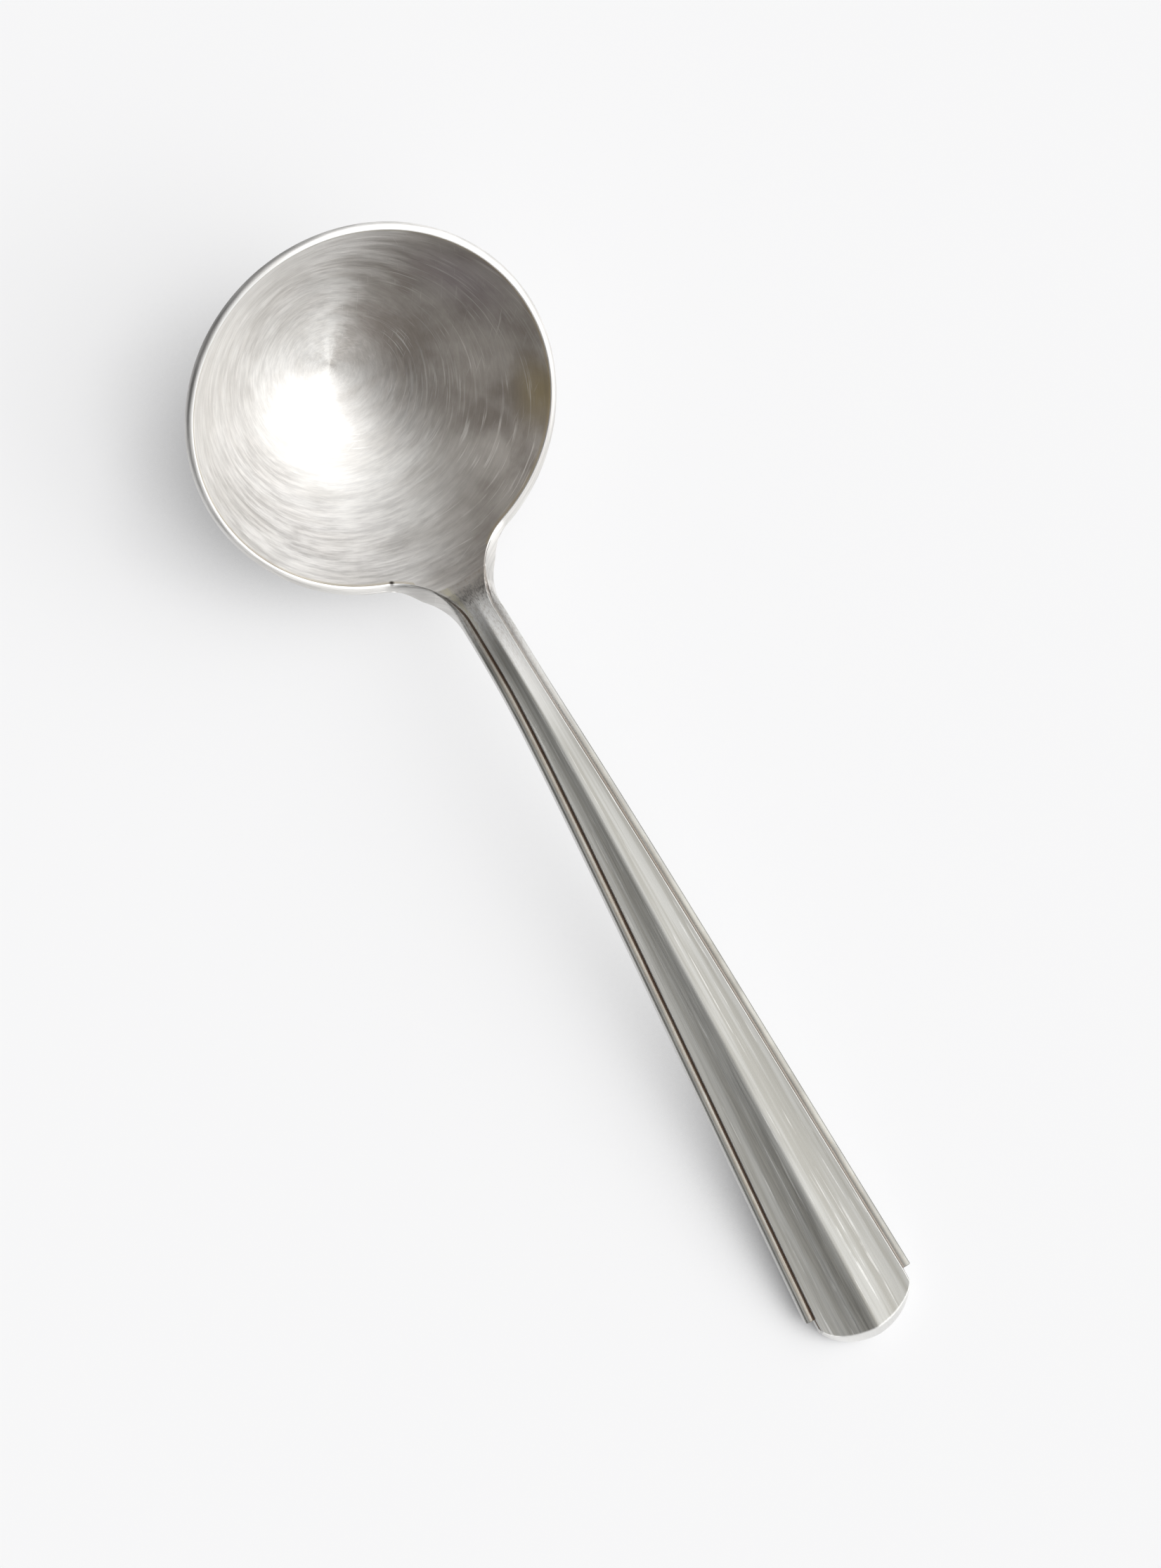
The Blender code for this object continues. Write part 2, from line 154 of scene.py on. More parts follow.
def topLine():
    inside = rimCentre + tilted(bowlProfile())
    climb = bowl["wallAngle"] - lie["pitch"]
    slope = lie["tipSlope"]
    tip = np.array([rimCentre[0] + lie["tipReach"], lie["thickness"] * cos(slope) - lie["tipWear"]])
    leave = inside[-1] + lie["neckPull"] * np.array([cos(climb), sin(climb)])
    arrive = tip + lie["tipPull"] * np.array([-cos(slope), sin(slope)])
    return np.vstack([inside, bezier(inside[-1], leave, arrive, tip)[1:]]), len(inside) - 1


line, rimIndex = topLine()
lineAt = lengthsAlong(line)
lineNormals = lowerNormals(line)
rimAt = lineAt[rimIndex]
lipAt = rimAt + neck["lipEnd"]
waistAt = rimAt + neck["waist"]
tipAt = lineAt[-1]
rimBand = bowl["wall"] / sin(bowl["wallAngle"])


def onLine(at, depth):
    at, depth = np.broadcast_arrays(np.asarray(at, float), np.asarray(depth, float))
    point = np.stack([np.interp(at, lineAt, line[:, k]) for k in (0, 1)], -1)
    normal = np.stack([np.interp(at, lineAt, lineNormals[:, k]) for k in (0, 1)], -1)
    normal /= np.linalg.norm(normal, axis=-1, keepdims=True)
    return point + depth[..., None] * normal


def turned(at, depth, angle):
    # radius and height about the bowl's axis, turned to this angle, in the bowl's own frame
    offset = onLine(at, depth) - rimCentre
    radius = offset @ radial
    return np.stack([radius * np.cos(angle), radius * np.sin(angle), offset @ axial], -1)


def bowlToWorld(points):
    xz = rimCentre + points[..., :1] * radial + points[..., 2:] * axial
    return np.stack([xz[..., 0], points[..., 1], xz[..., 1]], -1)


def worldToBowl(points):
    offset = points[..., [0, 2]] - rimCentre
    return np.stack([offset @ radial, points[..., 1], offset @ axial], -1)


def roundAxis(points):
    # direction round the bowl's axis at these points of its frame, in the world
    flat = np.stack([-points[:, 1], points[:, 0]], 1)
    flat /= np.maximum(np.linalg.norm(flat, axis=1), 1e-6)[:, None]
    return np.stack([flat[:, 0] * radial[0], flat[:, 1], flat[:, 0] * radial[1]], 1)


def strapPoint(at, depth, y, roundness):
    middle = onLine(at, depth)
    radius = (middle - rimCentre) @ radial
    sag = np.sqrt(np.maximum(radius**2 - y**2, 0)) - radius
    xz = middle + np.asarray(roundness * sag)[..., None] * radial
    return np.stack([xz[..., 0], np.broadcast_to(y, xz[..., 0].shape), xz[..., 1]], -1)


radiusAt = np.linspace(0, waistAt + 6, 1500)  # past every place asked for
innerRadii = (onLine(radiusAt, 0) - rimCentre) @ radial
outerRadii = (onLine(radiusAt, bowl["wall"]) - rimCentre) @ radial


def flareLine():
    # inner edge of the rim where it leaves its circle for the neck, in the rim's plane
    inner = neck["halfWidth"] - rimBand
    waistRadius = np.interp(waistAt, radiusAt, innerRadii)
    waist = np.array([sqrt(waistRadius**2 - inner**2), inner])
    turn = neck["flareAngle"]
    leave = bowl["rimRadius"] * np.array([cos(turn), sin(turn)])
    pull = leave + neck["flareRimPull"] * np.array([sin(turn), -cos(turn)])
    return bezier(waist, waist - np.array([neck["flareWaistPull"], 0]), pull, leave)


flare = flareLine()
flareEdge = flare + rimBand * lowerNormals(flare)
flareLevel = np.interp(np.linalg.norm(flare, axis=1), innerRadii, radiusAt)


def edgeStations():
    found = []
    for edge, level in zip(flareEdge, flareLevel):
        height = (onLine(level, 0) - rimCentre) @ axial
        point = rimCentre + np.linalg.norm(edge) * radial + height * axial
        nearest = np.argmin(np.linalg.norm(line - point, axis=1))
        offset = point - line[nearest]
        normal = lineNormals[nearest]
        found.append((lineAt[nearest] + offset @ np.array([-normal[1], normal[0]]), offset @ normal))
    return np.array(found).T


edgeAt, edgeDepth = edgeStations()


def neckHalfWidth(at):
    return np.interp(at, edgeAt[::-1], flareEdge[::-1, 1])


def neckDrop(at):
    return np.interp(at, edgeAt[::-1], edgeDepth[::-1])


def makePiece(name, points, faces, notes):
    # notes are values kept on the mesh's points, for the material to read
    points = points.copy()
    points[:, 2] = np.maximum(points[:, 2], 0)
    mesh = bpy.data.meshes.new(name)
    mesh.from_pydata((points * mm).tolist(), [], faces)
    for label, values in notes.items():
        flat = values.ndim == 1
        layer = mesh.attributes.new(label, "FLOAT" if flat else "FLOAT_VECTOR", "POINT")
        layer.data.foreach_set("value" if flat else "vector", values.astype(np.float32).ravel())
    bm = bmesh.new()
    bm.from_mesh(mesh)
    bmesh.ops.remove_doubles(bm, verts=bm.verts, dist=mergeWithin)
    bmesh.ops.dissolve_degenerate(bm, edges=bm.edges, dist=mergeWithin)
    bmesh.ops.recalc_face_normals(bm, faces=bm.faces)
    bm.to_mesh(mesh)
    bm.free()
    mesh.shade_smooth()
    mesh.set_sharp_from_angle(angle=sharpFrom)
    piece = bpy.data.objects.new(name, mesh)
    bpy.context.scene.collection.objects.link(piece)
    print(name, "has", len(mesh.polygons), "faces")
    return piece


def gridFaces(rows, around):
    # quads over rows of points that close round on themselves
    quads = []
    for i in range(rows - 1):
        for j in range(around):
            k = (j + 1) % around
            quads.append((i * around + j, i * around + k, (i + 1) * around + k, (i + 1) * around + j))
    return quads


def arc(start, corner, end, steps):
    t = np.linspace(0, 1, steps)[:, None]
    return (1 - t) ** 2 * start + 2 * t * (1 - t) * corner + t**2 * end


def neckSide(at, count, inset):
    # outer edge, side and underside of the neck's section, in the bowl's frame
    section = handleSection(at)[(sectionZone >= edgeZone) & (sectionZone <= underZone)]
    picks = np.linspace(0, len(section) - 1, count).round().astype(int)
    return worldToBowl(strapPoint(at, section[picks, 1], section[picks, 0] - inset, 1))


def bowlColumns():
    # half of the bowl, column by column from the lip's middle to the far side
    rings = np.linspace(0, 1, bowl["rings"] + 1)[1:]
    rimCount = bowl["filletSteps"] + bowl["rimSteps"]
    columns = []

    first = np.argmax(flareLevel <= lipAt)
    lipAngle = np.arctan2(flare[first, 1], flare[first, 0])
    tuckAt = lipAt + neck["lipTuck"]
    for angle in np.linspace(0, lipAngle, bowl["lipColumns"])[:-1]:
        inside = turned(rings * lipAt, 0, angle)
        end = turned(tuckAt, np.linspace(bowl["lipSkin"], bowl["wall"], rimCount), angle)
        columns.append(np.vstack([inside, end, turned(rings[::-1] * tuckAt, bowl["wall"], angle)]))

    flareCount = bowl["flareColumns"]
    innerPick = np.linspace(first, len(flare) - 1, flareCount).astype(int)
    edgeFirst = np.argmax(edgeAt <= lipAt)
    edgePick = np.linspace(edgeFirst, len(flare) - 1, flareCount).astype(int)
    angles = np.linspace(neck["flareAngle"], pi, bowl["rimColumns"])[1:]
    circle = np.stack([np.cos(angles), np.sin(angles)], 1)
    inner = np.vstack([flare[innerPick], bowl["rimRadius"] * circle])
    outer = np.vstack([flareEdge[edgePick], (bowl["rimRadius"] + rimBand) * circle])
    level = np.concatenate([flareLevel[edgePick], np.full(len(circle), rimAt)])
    # share of the handle's own side in each column of the flare
    rootShare = ease(np.linspace(bowl["rootRun"], 0, flareCount))
    root = np.concatenate([rootShare, np.zeros(len(circle))])
    swell = np.concatenate([1 - rootShare, 1 - ease(np.arange(len(circle)) / bowl["swellColumns"])])
    band = outer - inner
    outer += bowl["rimSwell"] * swell[:, None] * band / np.linalg.norm(band, axis=1)[:, None]
    sideAt = np.minimum(np.concatenate([edgeAt[edgePick], np.full(len(circle), rimAt)]), lipAt)
    sideAt[0] = tuckAt
    sideInset = np.zeros(len(sideAt))
    sideInset[0] = bowl["sideInset"]
    for near, far, levelAt, deepen, station, inset in zip(inner, outer, level, root, sideAt, sideInset):
        angle = np.arctan2(near[1], near[0])
        farAngle = np.arctan2(far[1], far[0])
        at = np.interp(np.linalg.norm(near), innerRadii, radiusAt)
        height = (onLine(levelAt, 0) - rimCentre) @ axial
        edge = turned(at, 0, angle)
        brow = np.array([far[0], far[1], height])
        across = np.linalg.norm(brow - edge)
        soft = bowl["rimFillet"]
        inside = turned(rings * (at - soft), 0, angle)
        top = edge + (brow - edge) * min(soft / across, bowl["filletMost"])
        fillet = arc(inside[-1], edge, top, bowl["filletSteps"] + 1)[1:]
        farAt = np.interp(np.linalg.norm(far), outerRadii, radiusAt)
        footAt = farAt - bowl["rimFoot"] - bowl["rootFoot"] * deepen
        fallen = brow - np.array([0, 0, bowl["rimRoll"]])
        rollSteps = bowl["rimSteps"] - bowl["footSteps"] + 1
        roll = arc(top, mix(top, brow, bowl["rollCorner"]), fallen, rollSteps)[1:]
        foot = turned(footAt, bowl["wall"], farAngle)
        belly = turned(farAt - bowl["bellyShare"] * bowl["rimFoot"], bowl["wall"], farAngle)
        below = arc(fallen, mix(fallen, belly, bowl["bellyPull"]), foot, bowl["footSteps"] + 1)[1:]
        rim = np.vstack([roll, below])
        if deepen > 0:
            rim = mix(rim, neckSide(station, len(rim), inset), deepen)
        outside = turned(rings[::-1] * footAt, bowl["wall"], farAngle)
        columns.append(np.vstack([inside, fillet, rim, outside]))
    return columns


def makeBowl():
    half = np.array(bowlColumns())
    half[0, :, 1] = 0
    half[-1, :, 1] = 0
    other = half[1:-1][::-1] * np.array([1, -1, 1])
    ring = np.concatenate([half, other])
    around, rows = ring.shape[:2]
    points = ring.transpose(1, 0, 2).reshape(-1, 3)
    faces = gridFaces(rows, around)
    poles = np.vstack([turned(0, 0, 0), turned(0, bowl["wall"], 0)])
    innerPole, outerPole = len(points), len(points) + 1
    last = (rows - 1) * around
    for j in range(around):
        k = (j + 1) % around
        faces.append((innerPole, k, j))
        faces.append((outerPole, last + j, last + k))
    points = np.vstack([points, poles])
    inZone, stainZone, lineZone, topZone, outZone = range(5)
    counts = (bowl["rings"] - 1, 1, bowl["filletSteps"], bowl["rimSteps"], bowl["rings"])
    zone = np.repeat((inZone, stainZone, lineZone, topZone, outZone), counts)
    zone = np.concatenate([np.repeat(zone, around), [inZone, outZone]])
    onNeck = ease((points[:, 0] - bowl["rimLineEnd"]) / bowl["rimLineFade"])
    fromAxis = np.linalg.norm(points[:, :2], axis=1)
    notes = {
        "bowlCoord": points,
        "brushed": roundAxis(points),
        "rimLine": (zone == lineZone) * (1 - onNeck),
        "rimTop": (zone == topZone) * 1.0,
        "underRim": (zone == stainZone) * (fromAxis < bowl["rimRadius"] + bowl["stainReach"]),
        "backSide": (zone == outZone) * 1.0,
    }
    return makePiece("bowlSheet", bowlToWorld(points), faces, notes)


handle = {
    "tailHalfWidth": 8.6,
    "taperStart": 12.0,
    "taperKnee": 6.0,
    "shoulderWidth": 1.35,
    "shoulderDrop": 0.55,
    "shoulderLead": 2.0,  # the shoulder's flat starts this far before the lip's end
    "shoulderRun": 9.0,
    "browStart": (0.12, 0.06),  # its outer edge there, out from the groove and down
    "grooveStart": 0.04,
    "stopDrop": 0.3,
    "wallRun": 0.15,
    "fluteShare": 0.036,
    "crestShare": 0.16,
    "crestSoft": 0.42,  # roundness of the middle ridge
    "crestMost": 0.2,
    "reliefRun": 6.0,
    "brushTurn": 5.0,  # the bowl's round brushing turns lengthwise over this
    "flattenRun": 10.0,
    "startTuck": 0.985,  # the first row's sides stay inside the bowl's
    "panelRound": 0.22,
    "grooveRound": 0.22,
    "edgeRound": 0.34,
    "shoulderSwell": 0.05,
    "sideDraft": 0.2,
    "underRound": 0.6,
    "backCrown": 0.25,
    "bodyRows": 190,
    "rowSpread": 1.35,  # rows are closer at the neck
    "panelSteps": 26,
    "panelSpread": 1.25,
    "cornerSteps": 6,
    "wallSteps": 2,
    "flatSteps": 6,
    "backSteps": 12,
}

tip = {
    "zone": 12.0,
    "setback": 6.9,
    "roundLength": 7.0,
    "roundHalfWidth": 8.0,
    "bevel": 1.7,
    "bevelCorner": 0.8,
    "bevelDrop": 2.1,
    "bevelChamfer": 0.5,  # share of a plain chamfer in the rounded bevel
    "shoulderTrim": 0.12,
    "trimStart": 0.3,
    "rows": 26,
    "panelRows": 10,  # from the shoulder's end to the bevel
    "bevelRows": 12,
}

heel = {
    "length": 10.0,
    "spread": 11.0,
    "waist": 5.0,
    "waistWidth": 6.5,
    "root": 4.6,
    "thinShare": 0.6,
    "tuck": 0.1,
    "top": 0.94,  # below the top line, against the bowl's back
    "edgeRound": 0.2,
    "thin": 1.85,
    "lip": 3.0,
    "inset": 1.1,  # stays this far inside the rim's edge
    "lipGap": 0.02,
    "lipLift": 0.1,
    "rows": 44,
    "rowSpread": 1.7,
}

heelAt = rimAt - heel["length"]
shoulderAt = tipAt - tip["setback"]
heelLipAt = rimAt + heel["lip"]


def handleHalfWidth(at):
    start = waistAt + handle["taperStart"]

    def knee(u):
        return (u + sqrt(u * u + handle["taperKnee"] ** 2)) / 2

    share = knee(at - start) / knee(shoulderAt - start)
    return mix(neckHalfWidth(at), handle["tailHalfWidth"], share)


rootLine = bezier(
    (heelAt, heel["thin"]),
    (mix(heelAt, rimAt, heel["thinShare"]), heel["thin"]),
    (rimAt, heel["root"]),
    (waistAt, lie["thickness"]),
)


def handleDepth(at):
    return np.interp(at, rootLine[:, 0], rootLine[:, 1])


def roundedPath(corners, steps):
    # corners are (point, radius); each inner one becomes an arc
    points = [np.array(c[0], float) for c in corners]

    def reach(k, other):
        away = points[other] - points[k]
        length = np.linalg.norm(away)
        return points[k] + away / max(length, 1e-9) * min(corners[k][1], 0.45 * length)

    return [arc(reach(k, k - 1), points[k], reach(k, k + 1), steps) for k in range(1, len(points) - 1)]


def backPath(outer, top, deep):
    scale = (deep - top) / (lie["thickness"] - handle["shoulderDrop"])
    root = max(deep - lie["thickness"], 0) / (heel["root"] - lie["thickness"])
    foot = outer + handle["sideDraft"] * scale - heel["tuck"] * root
    crown = handle["backCrown"] * scale
    return foot, deep - crown, crown


def backPoints(start, foot, crown, deep):
    # crowned underside from this point of the side's round to the middle
    shares = np.linspace(start[0] / foot, 0, handle["backSteps"] + 1)[1:]
    back = np.stack([foot * shares, deep - crown * shares**2], 1)
    miss = start[1] - (deep - crown * (start[0] / foot) ** 2)
    back[:, 1] += miss * (back[:, 0] / max(start[0], 1e-6)) ** 2
    return back


def handleSection(at, shoulderShare=1.0, trim=0.0):
    # half a section: ridge, flute, groove, shoulder, side and back
    halfWidth = handleHalfWidth(min(at, shoulderAt))
    rise = float(ease((at - lipAt) / handle["reliefRun"]))
    panel = halfWidth - mix(rimBand, handle["shoulderWidth"], rise)
    flute = rise * handle["fluteShare"] * panel
    crest = rise * handle["crestShare"] * panel
    soft = min(handle["crestSoft"], handle["crestMost"] * panel)
    edgeDrop = mix(float(neckDrop(at)), handle["shoulderDrop"], rise)
    footDrop = mix(handle["grooveStart"], handle["shoulderDrop"], rise)
    foot = panel + handle["wallRun"]
    outer = mix(foot, halfWidth - trim, shoulderShare)
    begun = float(ease((at - lipAt + handle["shoulderLead"]) / handle["shoulderRun"]))
    brow = mix(foot + handle["browStart"][0], outer, begun)
    browDrop = mix(footDrop + handle["browStart"][1], edgeDrop, begun)
    deep = float(handleDepth(at))

    shares = np.linspace(0, 1, handle["panelSteps"]) ** handle["panelSpread"]
    y = (panel - 0.5 * handle["panelRound"]) * shares
    s = (np.sqrt(y * y + soft * soft) - soft) / (sqrt(panel * panel + soft * soft) - soft)
    top = np.stack([y, (1 - s) * (4 * flute * s - crest)], 1)

    lower = trim * shoulderShare
    browDrop += lower + handle["stopDrop"] * (1 - shoulderShare)
    sideFoot, sideDeep, crown = backPath(outer, edgeDrop, deep)
    corners = [
        (top[-1], 0),
        ((panel, 0), handle["panelRound"]),
        ((foot, footDrop + lower), handle["grooveRound"]),
        ((brow, browDrop), mix(bowl["rimRoll"], handle["edgeRound"], rise)),
        ((sideFoot, sideDeep), handle["underRound"]),
        ((0, deep - 0.5 * crown), 0),
    ]
    arris, groove, edge, under = roundedPath(corners, handle["cornerSteps"])
    wall = mix(arris[-1], groove[0], np.linspace(0.08, 0.92, handle["wallSteps"])[:, None])
    t = np.linspace(0, 1, handle["flatSteps"] + 2)[1:-1, None]
    swell = handle["shoulderSwell"] * rise * shoulderShare
    shoulder = mix(groove[-1], edge[0], t)
    shoulder[:, 1] -= (swell * 4 * t * (1 - t))[:, 0]
    side = mix(edge[-1], under[0], t)
    back = backPoints(under[-1], sideFoot, crown, deep)
    return np.vstack([top, arris, wall, groove, shoulder, edge, side, under, back])


# which zone of the section each of its points belongs to, from the panel's 0 round to the back's 8
arrisZone, wallZone, grooveZone, shoulderZone, edgeZone, sideZone, underZone = range(1, 8)
zoneSteps = ("panelSteps", "cornerSteps", "wallSteps", "cornerSteps", "flatSteps", "cornerSteps",
             "flatSteps", "cornerSteps", "backSteps")
sectionZone = np.repeat(range(len(zoneSteps)), [handle[steps] for steps in zoneSteps])


def heelSection(halfWidth, deep):
    # half a section of the heel, with as many points as the handle's
    topCount = int(np.sum(sectionZone < sideZone))
    sideFoot, sideDeep, crown = backPath(halfWidth, heel["top"], deep)
    corners = [
        ((0, heel["top"]), 0),
        ((halfWidth, heel["top"]), heel["edgeRound"]),
        ((sideFoot, sideDeep), handle["underRound"]),
        ((0, deep - 0.5 * crown), 0),
    ]
    edge, under = roundedPath(corners, handle["cornerSteps"])
    flat = edge[0] * np.array([1, 0]) * np.linspace(0, 1, topCount - len(edge) + 1)[:-1, None]
    flat[:, 1] = heel["top"]
    t = np.linspace(0, 1, handle["flatSteps"] + 2)[1:-1, None]
    side = mix(edge[-1], under[0], t)
    back = backPoints(under[-1], sideFoot, crown, deep)
    return np.vstack([flat, edge, side, under, back])


def heelStations():
    outline = bezier(
        (heelAt, 0), (heelAt, heel["spread"]), (heelLipAt - heel["waist"], heel["waistWidth"]),
        (heelLipAt, float(neckHalfWidth(heelLipAt))),
    )
    shares = np.linspace(0, 1, heel["rows"] + 1)[1:] ** heel["rowSpread"]
    picks = np.maximum((shares * (len(outline) - 1)).astype(int), 2)
    stations = []
    for at, width in outline[picks]:
        most = neckHalfWidth(at) - heel["inset"]
        stations.append((at, min(width, most), float(handleDepth(at))))
    return stations


def tipEnd(y):
    share = np.minimum(y / tip["roundHalfWidth"], 1)
    return tip["roundLength"] * (1 - np.sqrt(1 - share * share))


def tipRows():
    # (points, stations, section) of each row from the straight part to the end
    # a step is its place, share of the shoulder, trim, run over the bevel and fall down it
    start = tipAt - tip["zone"]
    panel = handle["tailHalfWidth"] - handle["shoulderWidth"] + handle["wallRun"]
    corner = tipAt - tipEnd(panel) - tip["bevelCorner"]
    stop = (shoulderAt - start) / (corner - start)
    trim = tip["shoulderTrim"]
    nudge = trim / (corner - start)
    steps = [(stop * k / tip["rows"], 1.0, 0.0, 0, 0) for k in range(1, tip["rows"])]
    early = tip["trimStart"]
    steps += [(stop - nudge, 1.0, 0.0, 0, 0), (stop - early * nudge, 1.0, early * trim, 0, 0)]
    steps += [(stop, 1.0, trim, 0, 0), (stop, 0.0, 0.0, 0, 0)]
    panelRows = tip["panelRows"]
    steps += [(mix(stop, 1, k / panelRows), 0.0, 0.0, 0, 0) for k in range(1, panelRows + 1)]
    for k in range(1, tip["bevelRows"] + 1):
        turn = k / tip["bevelRows"] * pi / 2
        steps.append((1, 0.0, 0.0, sin(turn), mix(1 - cos(turn), sin(turn), tip["bevelChamfer"])))
    rows = []
    for share, shoulder, cut, run, drop in steps:
        section = handleSection(min(mix(start, corner, share), shoulderAt), shoulder, cut)
        y, depth = section.T
        inside = np.minimum(y / panel, 1)
        bevel = mix(tip["bevel"], tip["bevelCorner"], inside**2)
        arris = tipAt - tipEnd(inside * panel) - bevel
        sink = tip["bevelDrop"] * drop
        sunk = sink + depth * (1 - sink / lie["thickness"])
        at = mix(start, arris, share) + run * bevel
        rows.append((strapPoint(at, sunk, y, 0), at, section))
    return rows


def plainRow(at, section, roundness):
    return strapPoint(at, section[:, 1], section[:, 0], roundness), np.full(len(section), at), section


def handleRows():
    rows = [plainRow(at, heelSection(halfWidth, deep), 1) for at, halfWidth, deep in heelStations()]
    at = lipAt - heel["lipGap"]
    deep = float(handleDepth(lipAt)) - heel["lipLift"]
    rows.append(plainRow(at, heelSection(handleHalfWidth(at) - heel["inset"], deep), 1))
    for share in np.linspace(0, 1, handle["bodyRows"]) ** handle["rowSpread"]:
        at = mix(lipAt, tipAt - tip["zone"], share)
        roundness = 1 - float(ease((at - lipAt) / handle["flattenRun"]))
        section = handleSection(at)
        if share == 0:
            section[sectionZone >= shoulderZone] *= np.array([handle["startTuck"], 1])
        rows.append(plainRow(at, section, roundness))
    return rows + tipRows()


def makeHandle():
    rows = handleRows()
    count = len(rows[0][0])
    mirror = np.arange(count - 2, 0, -1)
    flip = np.array([1, -1, 1])
    points, strip = [], []
    for half, at, section in rows:
        full = np.vstack([half, half[mirror] * flip])
        full[[0, count - 1], 1] = 0
        width = np.array([handleHalfWidth(min(a, shoulderAt)) for a in at])
        side = section[:, 0] / width * handle["tailHalfWidth"]
        unrolled = np.stack([at, side, section[:, 1]], 1)
        points.append(full)
        strip.append(np.vstack([unrolled, unrolled[mirror] * flip]))
    around = len(points[0])
    points, strip = np.vstack(points), np.vstack(strip)
    zones = np.tile(np.concatenate([sectionZone, sectionZone[mirror]]), len(rows))
    ends = np.repeat(np.arange(len(rows)) >= len(rows) - tip["bevelRows"] - 1, around)
    faces = gridFaces(len(rows), around)
    last = (len(rows) - 1) * around
    for base in (0, last):
        for j in range(count // 2):
            for turn in (1, -1):
                ids = [(turn * k) % around for k in (j, j + 1, count - 2 - j, count - 1 - j)]
                face = list(dict.fromkeys(base + k for k in ids))
                if len(face) > 2:
                    faces.append(face)
    rowAt = strip[:, 0]
    rise = ease((rowAt - lipAt) / handle["reliefRun"])
    along = np.stack([np.interp(rowAt, lineAt, np.gradient(line[:, k], lineAt)) for k in (0, 1)], 1)
    lengthwise = np.stack([along[:, 0], 0 * rowAt, along[:, 1]], 1)
    inBowl = worldToBowl(points)
    leaving = ease((rowAt - lipAt) / handle["brushTurn"])[:, None]
    notes = {
        "strip": strip,
        "bowlCoord": inBowl,
        "brushed": mix(roundAxis(inBowl), lengthwise, leaving),
        "endFace": ends * 1.0,
        "groove": (zones == grooveZone) * rise,
        "besideGroove": ((zones >= wallZone) & (zones <= shoulderZone)) * rise,
        "panelEdge": (zones == arrisZone) * rise,
        "shoulder": ((zones == shoulderZone) | (zones == edgeZone)) * 1.0,
        "under": np.maximum(zones >= sideZone, (zones == edgeZone) * (1 - rise)),
    }
    return makePiece("handleBar", points, faces, notes)


seam = {
    "bead": 0.32,  # how far the braze runs out past the heel, on the bowl's back
    "middleShare": 0.3,
    "middleDepth": 0.4,
    "from": 0.84,
    "to": 1.3,
    "lowInset": 0.1,
    "fadeRun": 4.0,  # it thins out where the heel comes up to the rim
    "fadeInset": 0.12,
    "columns": 25,
}


def makeSeam():
    # braze in the lap between the bowl's back and the heel, with its bead round the heel's edge
    stations = np.array([station[:2] for station in heelStations()])
    normals = -lowerNormals(stations)
    fade = 1 - ease((stations[:, 0] - rimAt + seam["fadeRun"]) / seam["fadeRun"])

    def moved(reach):
        return stations + normals * mix(-seam["fadeInset"], reach, fade)[:, None]

    count = seam["columns"]
    shares = np.linspace(-1, 1, count)
    middleDepth = mix(seam["from"], seam["to"], seam["middleDepth"])
    rows = []
    for wide, half, inner in zip(moved(seam["bead"]), moved(seam["middleShare"] * seam["bead"]), stations):
        lowWidth = max(inner[1] - seam["lowInset"], 0.02)
        top = strapPoint(np.full(count, wide[0]), seam["from"], shares * wide[1], 1)
        right = strapPoint(half[:1], middleDepth, half[1:], 1)
        low = strapPoint(np.full(count, inner[0]), seam["to"], shares[::-1] * lowWidth, 1)
        rows.append(np.vstack([top, right, low, right * np.array([1, -1, 1])]))
    around = len(rows[0])
    points = np.vstack(rows)
    faces = gridFaces(len(rows), around)
    last = (len(rows) - 1) * around
    for base in (0, last):
        far = base + 2 * count
        for j in range(count - 1):
            faces.append((base + j, base + j + 1, far - 1 - j, far - j))
        faces.append((base + count - 1, base + count, base + count + 1))
        faces.append((base, far, far + 1))
    return makePiece("brazeSeam", points, faces, {"seamCoord": points})


bowlPiece = makeBowl()
handlePiece = makeHandle()
seamPiece = makeSeam()
for piece, node, slot in (
    (bowlPiece, "bowl", "bowl_silver"),
    (handlePiece, "handle", "handle_silver"),
    (seamPiece, "braze_film", "braze_alloy"),
):
    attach(piece, "root")
    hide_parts(node)


def put(tree, kind, wires=None, **settings):
    node = tree.nodes.new("ShaderNode" + kind)
    for name, value in settings.items():
        setattr(node, name, value)
    for socket, value in (wires or {}).items():
        if isinstance(value, bpy.types.NodeSocket):
            tree.links.new(value, node.inputs[socket])
        else:
            node.inputs[socket].default_value = value
    return node


def maths(tree, operation, a, b=0.0, c=0.0):
    return put(tree, "Math", {0: a, 1: b, 2: c}, operation=operation).outputs[0]


def remap(tree, value, low, high, toLow=0.0, toHigh=1.0):
    wires = {"Value": value, "From Min": low, "From Max": high, "To Min": toLow, "To Max": toHigh}
    return put(tree, "MapRange", wires, interpolation_type="SMOOTHSTEP").outputs[0]


def blendColour(tree, factor, first, second):
    node = put(tree, "Mix", {0: factor, 6: first, 7: second}, data_type="RGBA")
    return node.outputs[2]


def note(tree, label):
    return put(tree, "Attribute", attribute_name=label)


def noise(tree, coord, scale, detail=3.0, roughness=0.55):
    wires = {"Vector": coord, "Scale": scale, "Detail": detail, "Roughness": roughness}
    return put(tree, "TexNoise", wires).outputs["Fac"]


def product(tree, first, *others):
    for other in others:
        first = maths(tree, "MULTIPLY", first, other)
    return first


def vector(tree, operation, first, second=(0, 0, 0), output="Vector"):
    return put(tree, "VectorMath", {0: first, 1: second}, operation=operation).outputs[output]


def blendValue(tree, factor, first, second):
    return put(tree, "Mix", {0: factor, 2: first, 3: second}).outputs[0]


def scaled(tree, colour, factor):
    return put(tree, "VectorMath", {0: colour, "Scale": factor}, operation="SCALE").outputs[0]


